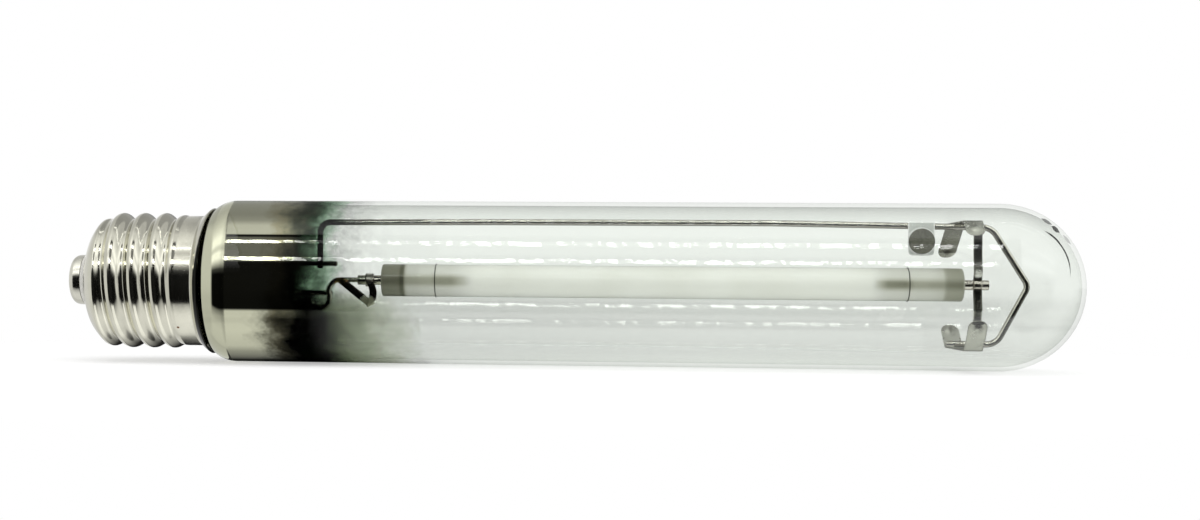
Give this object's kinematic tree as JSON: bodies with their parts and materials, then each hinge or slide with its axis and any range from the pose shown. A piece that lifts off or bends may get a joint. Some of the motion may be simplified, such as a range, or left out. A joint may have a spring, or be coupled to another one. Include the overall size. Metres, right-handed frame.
{
  "type": "high pressure sodium lamp",
  "caption": "Clear tubular discharge lamp: rolled screw base, glass bulb, and a wire frame carrying a long ceramic arc tube.",
  "frame": {"origin": "flattened crown of the solder on the centre contact, on the lamp's axis", "axes": "+X along the lamp's axis from the centre contact to the dome; +Z towards the long top run of the wire frame; -Y is the side with the getter and the cross strap"},
  "size_m": [0.29, 0.047, 0.047],
  "materials": {
    "nickel_plate": "bright nickel plate on rolled brass sheet",
    "insulator": "pale moulded insulator",
    "contact_plate": "bright plated cup",
    "solder": "dull grey solder",
    "cement": "baked basing cement",
    "bulb_glass": "clear blown glass with a mirror film fading out at the base end",
    "stem_glass": "clear pressed glass",
    "lead_wire": "oxidised nickel wire",
    "tail_wire": "thin copper-clad wire",
    "frame_wire": "dark drawn steel wire",
    "hook_wire": "dark drawn wire with heat colours at its weld",
    "ribbon": "dark strip with heat colours at its weld",
    "ceramic_tube": "translucent sintered alumina",
    "ceramic_plug": "grey sintered ceramic",
    "sealing_frit": "dull sealing frit",
    "niobium": "drawn niobium tube",
    "tungsten": "dark tungsten rod",
    "tungsten_coil": "dark coated tungsten coil",
    "amalgam": "bright frozen metal drop",
    "strap": "dark sheet with weld marks",
    "spring_leaf": "dull spring sheet",
    "getter_plate": "pale bright sheet",
    "getter_pill": "dark pressed powder"
  },
  "bodies": {
    "root": {"base_shell": "nickel_plate", "base_insulator": "insulator", "centre_contact": "contact_plate", "contact_solder": "solder", "base_cement": "cement", "bulb": "bulb_glass", "stem": "stem_glass", "upper_lead": "lead_wire", "lower_lead": "lead_wire", "contact_wire": "tail_wire", "shell_wire": "tail_wire", "frame_wire": "frame_wire", "hook_wire": "hook_wire", "base_ribbon": "ribbon", "arc_tube": "ceramic_tube", "end_plug_base": "ceramic_plug", "end_plug_dome": "ceramic_plug", "seal_ring_base": "sealing_frit", "seal_ring_dome": "sealing_frit", "niobium_tube_base": "niobium", "niobium_tube_dome": "niobium", "electrode_base": "tungsten", "electrode_dome": "tungsten", "electrode_coil_base": "tungsten_coil", "electrode_coil_dome": "tungsten_coil", "amalgam_drop": "amalgam", "cross_strap": "strap", "top_spring": "spring_leaf", "lower_spring": "spring_leaf", "getter_plate": "getter_plate", "getter_pill": "getter_pill"}
  },
  "joints": []
}
